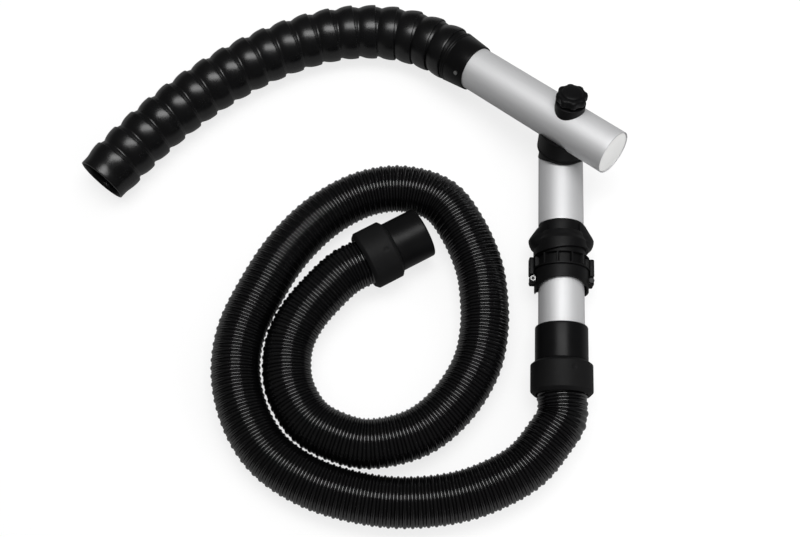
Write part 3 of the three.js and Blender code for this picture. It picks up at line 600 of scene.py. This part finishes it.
# Swivel head, saddle, end plug
swivel = {
    "radius": 25.5,
    "turntable": 28.7,
    "bore": 20.5,
    "top": 21,
    "mitre": 35,
    "saddleFoot": -30,
    "saddleTop": 9,
    "port": 18.3,
    "tubeSeat": 25.3,
    "sides": 128,
    "plug": [(0.05, 0.6, 0), (23.5, 0.6, 0.6), (23.5, 12.6, 0.4), (21, 12.6, 0.4), (21, 3.1, 0.6), (0.05, 3.1, 0)],
}


def makeHead(facts):  # column on the swivel axis from the mitre plane, height = depth * tan(half bend)
    corners = [(facts["radius"], 0, 0), (facts["radius"], 100, 3), (facts["bore"], 100, 1.5), (facts["bore"], 0, 0)]
    radius, share, angle = revolve(fine(rounded(corners), 2), facts["sides"])
    foot = radius * np.cos(angle) * np.tan(np.radians(facts["mitre"])) + 0.2
    height = foot + share / 100 * (facts["top"] - foot)
    lip = (facts["turntable"] - facts["radius"]) * ease(height, 17.4, 18.4) * (radius > 25.2)
    skin("swivelHead", [(around(radius + lip, height, angle), True)], places["swivel"], "mattBlack", "mast",
         ["swivel_head"])


def onTube(radius, angle, seat, least):  # height of the tube's surface over a column on its axis
    across = radius * np.sin(angle)
    return np.maximum(np.sqrt(np.clip(seat**2 - across**2, 0, None)), least)


def alongX(radius, height, angle):  # grid about the swivel axis in the upper tube's frame
    return np.stack([height, radius * np.cos(angle), radius * np.sin(angle)], axis=-1)


def makeSaddle(facts):
    wide, port = facts["turntable"], facts["port"]
    corners = [(wide, 0, 4), (wide, 100, 0), (port, 100, 0), (port, 0, 4)]
    radius, share, angle = revolve(fine(rounded(corners), 3), facts["sides"])
    top = -onTube(radius, angle, facts["tubeSeat"], facts["saddleTop"])
    height = facts["saddleFoot"] + share / 100 * (top - facts["saddleFoot"])
    skin("tubeSaddle", [(alongX(radius, height, angle), True)], places["upper"], "mattBlack", "upper_arm",
         ["saddle"])


makeHead(swivel)
makeSaddle(swivel)
plugPlace = (places["upper"][0] - places["upper"][1][:, 1] * 63, places["upper"][1])
skin("endPlug", [(around(*revolve(rounded(swivel["plug"]), 96)), False)], plugPlace, "paleNylon", "upper_arm",
     ["end_plug"])
print("swivel made")


# Clamp knob on its seat
knob = {
    "seatRadius": 16.5,
    "seatTop": 33,
    "bolt": 4.3,
    "outline": [(4.3, 34.8), (11, 34.8), (14.6, 35.2), (16.0, 36.4), (16.3, 38), (16.3, 42.2), (15.9, 43.6),
                (14.8, 44.6), (13.2, 45.0), (11.9, 45.0), (11.5, 45.5), (11.2, 46.3), (10.2, 46.9), (7, 47.3),
                (3, 47.4), (0.05, 47.4)],
    "lobes": 8,
    "lobeDepth": 0.9,
}


def makeKnob(facts):
    corners = [(facts["seatRadius"], 0, 0), (facts["seatRadius"], 100, 5), (facts["bolt"], 100, 1), (facts["bolt"], 0, 0)]
    radius, share, angle = revolve(fine(rounded(corners), 4), 128)
    foot = onTube(radius, angle, swivel["tubeSeat"], 0)
    height = foot + share / 100 * (facts["seatTop"] - foot)
    skin("knobSeat", [(alongX(radius, height, angle), True)], places["upper"], "mattBlack", "upper_arm",
         ["knob_seat"])
    outline = np.array(facts["outline"])
    radius, height, angle = revolve(outline, 192)
    hold = ease(radius, 13.0, 15.5)
    lobed = radius + facts["lobeDepth"] * hold * np.tanh(1.6 * np.cos(facts["lobes"] * angle))
    skin("clampKnob", [(alongX(lobed, height, angle), False)], places["upper"], "mattBlack", "knob",
         ["clamp_knob"], sharp=50)


makeKnob(knob)
print("knob made")


# Neck: cuff, rings and mouth
neck = {
    "sides": 96,
    "ball": 29.5,
    "socket": 30.1,
    "bore": 25.1,
    "pitch": 24.8,
    "outside": [(29.9, -4.7), (30.5, -4.7), (30.85, -4.4), (31.05, -3.7), (31.15, -2.2), (31.18, -0.4), (31.12, 1.6),
                (30.98, 3.6), (30.75, 5.6), (30.42, 7.5), (30, 9.3), (29.5, 10.9), (29, 12.3),
                (28.52, 13.5), (28.24, 14.2), (28.08, 14.8), (28.01, 15.3), (28.05, 15.8), (28.16, 16.2)],
    "mouth": [(29.9, -4.7), (30.5, -4.7), (30.85, -4.4), (31.05, -3.7), (31.15, -2.2), (31.2, -0.4), (31.15, 2),
              (30.9, 4.5), (30.5, 7.2), (30, 10), (29.4, 12.6), (29, 15), (28.85, 18), (28.85, 22), (28.9, 24.2),
              (28.7, 24.7), (28.3, 24.8), (27.3, 24.8), (26.95, 24.5), (26.6, 20), (26.1, 15.3)],
    "cuff": [(25.3, 132), (26.6, 132), (26.95, 132.4), (27.1, 133.2), (29.55, 156.2), (29.3, 156.6), (29.6, 157),
             (29.8, 158.7), (29.55, 159.1), (29.85, 159.5), (30.15, 161), (29.9, 161.7), (29, 162.2), (28.2, 162.6),
             (27.8, 162.8)],
}


def zone(radius, middle, first, last, count):  # a stretch of a ball's outline, by latitude
    lift = np.radians(np.linspace(first, last, count))
    return np.stack([radius * np.cos(lift), middle + radius * np.sin(lift)], 1)


def makeNeck(facts):
    socket = zone(facts["socket"], 0, 26, -8, 9)
    ball = zone(facts["ball"], facts["pitch"], -16.3, 14, 12)
    ring = np.vstack([facts["outside"], ball, [(facts["bore"], ball[-1, 1]), (facts["bore"], 15.3)], socket])
    mouth = np.vstack([facts["mouth"], socket])
    grid = around(*revolve(ring, facts["sides"]))
    last = len(places["neck"]) - 1
    for k, place in enumerate(places["neck"]):
        number = f"{k + 1:02d}"
        if k < last:
            skin("neckRing" + number, [(grid, True)], place, "glossBlack", "neck_" + number,
                 ["neck_ring_" + number], sharp=50)
        else:
            skin("neckMouth", [(around(*revolve(mouth, facts["sides"])), True)], place, "glossBlack", "mouth",
                 ["neck_mouth"], sharp=50)
    start = layout["neckStart"]
    ball = zone(facts["ball"], start, -19.6, 14, 12)
    sleeve = np.vstack([facts["cuff"], ball, [(23.8, ball[-1, 1]), (23.8, 152.3), (25.3, 152.3)]])
    skin("neckCuff", [(around(*revolve(sleeve, 128)), True)], places["upper"], "cuffBlack", "upper_arm",
         ["neck_cuff"], sharp=50)


makeNeck(neck)
print("neck made")


# The small fittings keep their solids, with a finish each
fittings = {
    "zincSteel": ["clamp_nut_left", "clamp_nut_right", "head_nut", "knob_washer", "clamp_bolt", "neck_cuff_screw"],
    "darkSteel": ["clamp_screw_left", "clamp_screw_right"],
    "rubber": ["coupling_seal"],
    "mattBlack": ["swivel_washer"],
}


def finishFittings(facts):
    for name, nodes in facts.items():
        for node in nodes:
            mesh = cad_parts[node].data
            mesh.materials.clear()
            mesh.materials.append(paint[name])


finishFittings(fittings)
print("fittings finished")


# Pale floor, soft lamps and world
studio = {
    "floorSize": 12,
    "floorShade": 0.18,
    "shadow": 0.25,
    "mirrored": 0.1,
    "world": 0.06,
    "lamps": [
        {"name": "overheadLamp", "spot": (0.35, 0.35, 1.5), "aim": (0.35, 0.35, 0), "size": (3.2, 2.8), "power": 27,
         "mirrored": False},
        {"name": "keyLamp", "spot": (0.05, 0.15, 1.6), "aim": (0.05, 0.05, 0), "size": (1.2, 0.6), "power": 14},
        {"name": "sideLamp", "spot": (1.3, 1.6, 1.0), "aim": (0.2, 0.1, 0.05), "size": (1.6, 1.2), "power": 7,
         "mirrored": False},
        {"name": "fillLamp", "spot": (1.5, -1.25, 0.7), "aim": (0.3, 0, 0.1), "size": (1.0, 1.0), "power": 17,
         "mirrored": False},
    ],
}


def makeStudio(facts):
    scene = bpy.context.scene
    scene.view_settings.view_transform = "Standard"
    size = facts["floorSize"] / 2
    mesh = bpy.data.meshes.new("floor")
    mesh.from_pydata([(-size, -size, 0), (size, -size, 0), (size, size, 0), (-size, size, 0)], [], [(0, 1, 2, 3)])
    floor = bpy.data.objects.new("floor", mesh)
    scene.collection.objects.link(floor)
    made, tree, shader = newMaterial("paleFloor")
    shader.inputs["Roughness"].default_value = 0.9
    glow = addNode(tree, "ShaderNodeEmission", Strength=1.0)
    seen = addNode(tree, "ShaderNodeLightPath")
    shade = addNode(tree, "ShaderNodeMapRange")
    shade.inputs["To Min"].default_value = facts["floorShade"]
    shade.inputs["To Max"].default_value = 1.0
    direct = addNode(tree, "ShaderNodeMath", operation="MULTIPLY")
    direct.inputs[1].default_value = 1 - facts["shadow"]
    mirror = addNode(tree, "ShaderNodeMath", operation="ADD")
    share = addNode(tree, "ShaderNodeMath", operation="MULTIPLY_ADD")
    share.inputs[1].default_value = facts["mirrored"]
    mix = addNode(tree, "ShaderNodeMixShader")
    tree.links.new(seen.outputs["Is Camera Ray"], shade.inputs["Value"])
    tree.links.new(shade.outputs["Result"], shader.inputs["Base Color"])
    tree.links.new(seen.outputs["Is Camera Ray"], direct.inputs[0])
    tree.links.new(seen.outputs["Is Glossy Ray"], mirror.inputs[0])
    tree.links.new(seen.outputs["Is Transmission Ray"], mirror.inputs[1])
    tree.links.new(mirror.outputs[0], share.inputs[0])
    tree.links.new(direct.outputs[0], share.inputs[2])
    tree.links.new(share.outputs[0], mix.inputs["Fac"])
    tree.links.new(shader.outputs["BSDF"], mix.inputs[1])
    tree.links.new(glow.outputs["Emission"], mix.inputs[2])
    tree.links.new(mix.outputs["Shader"], tree.nodes["Material Output"].inputs["Surface"])
    mesh.materials.append(made)
    world = bpy.data.worlds.new("studio")
    world.use_nodes = True
    scene.world = world
    tree = world.node_tree
    back = tree.nodes["Background"]
    seen = addNode(tree, "ShaderNodeLightPath")
    level = addNode(tree, "ShaderNodeMapRange")
    level.inputs["To Min"].default_value = facts["world"]
    level.inputs["To Max"].default_value = 1.0
    tree.links.new(seen.outputs["Is Camera Ray"], level.inputs["Value"])
    tree.links.new(level.outputs["Result"], back.inputs["Strength"])
    back.inputs["Color"].default_value = (1, 1, 1, 1)
    for lamp in facts["lamps"]:
        data = bpy.data.lights.new(lamp["name"], "AREA")
        data.shape = "RECTANGLE"
        data.size, data.size_y = lamp["size"]
        data.energy = lamp["power"]
        made = bpy.data.objects.new(lamp["name"], data)
        spot, aim = np.array(lamp["spot"]), np.array(lamp["aim"])
        back = (spot - aim) / np.linalg.norm(spot - aim)
        side = np.cross([0, 1, 0], back)
        side /= np.linalg.norm(side)
        matrix = np.eye(4)
        matrix[:3, 0], matrix[:3, 1], matrix[:3, 2], matrix[:3, 3] = side, np.cross(back, side), back, spot
        made.matrix_world = Matrix(matrix.tolist())
        made.visible_glossy = lamp.get("mirrored", True)
        scene.collection.objects.link(made)


makeStudio(studio)
print("studio made")
